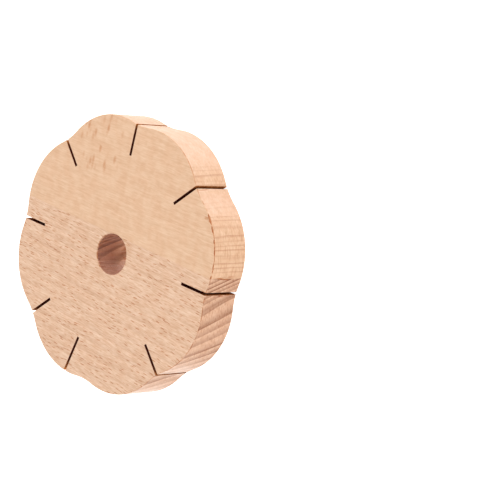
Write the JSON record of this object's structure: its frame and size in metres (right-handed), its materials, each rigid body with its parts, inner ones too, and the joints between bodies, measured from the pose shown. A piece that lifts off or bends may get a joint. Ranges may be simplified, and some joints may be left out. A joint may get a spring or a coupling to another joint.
{
  "type": "braiding disc",
  "caption": "Flat round wooden disc with a lobed rim, narrow yarn slots sawn in from its valleys and a plain hole through its middle, glued up from boards.",
  "frame": {"origin": "centre of the back face, on the axis of the centre hole", "axes": "+Z along the hole's axis, from the back face up to the working face; +Y across the disc, towards the upper board"},
  "size_m": [0.0948, 0.0948, 0.015],
  "materials": {
    "upper_board": "bare sanded beech, quarter-sawn",
    "lower_board": "bare sanded beech, rift-sawn"
  },
  "bodies": {
    "root": {"upper_board": "upper_board", "lower_board": "lower_board"}
  },
  "joints": []
}
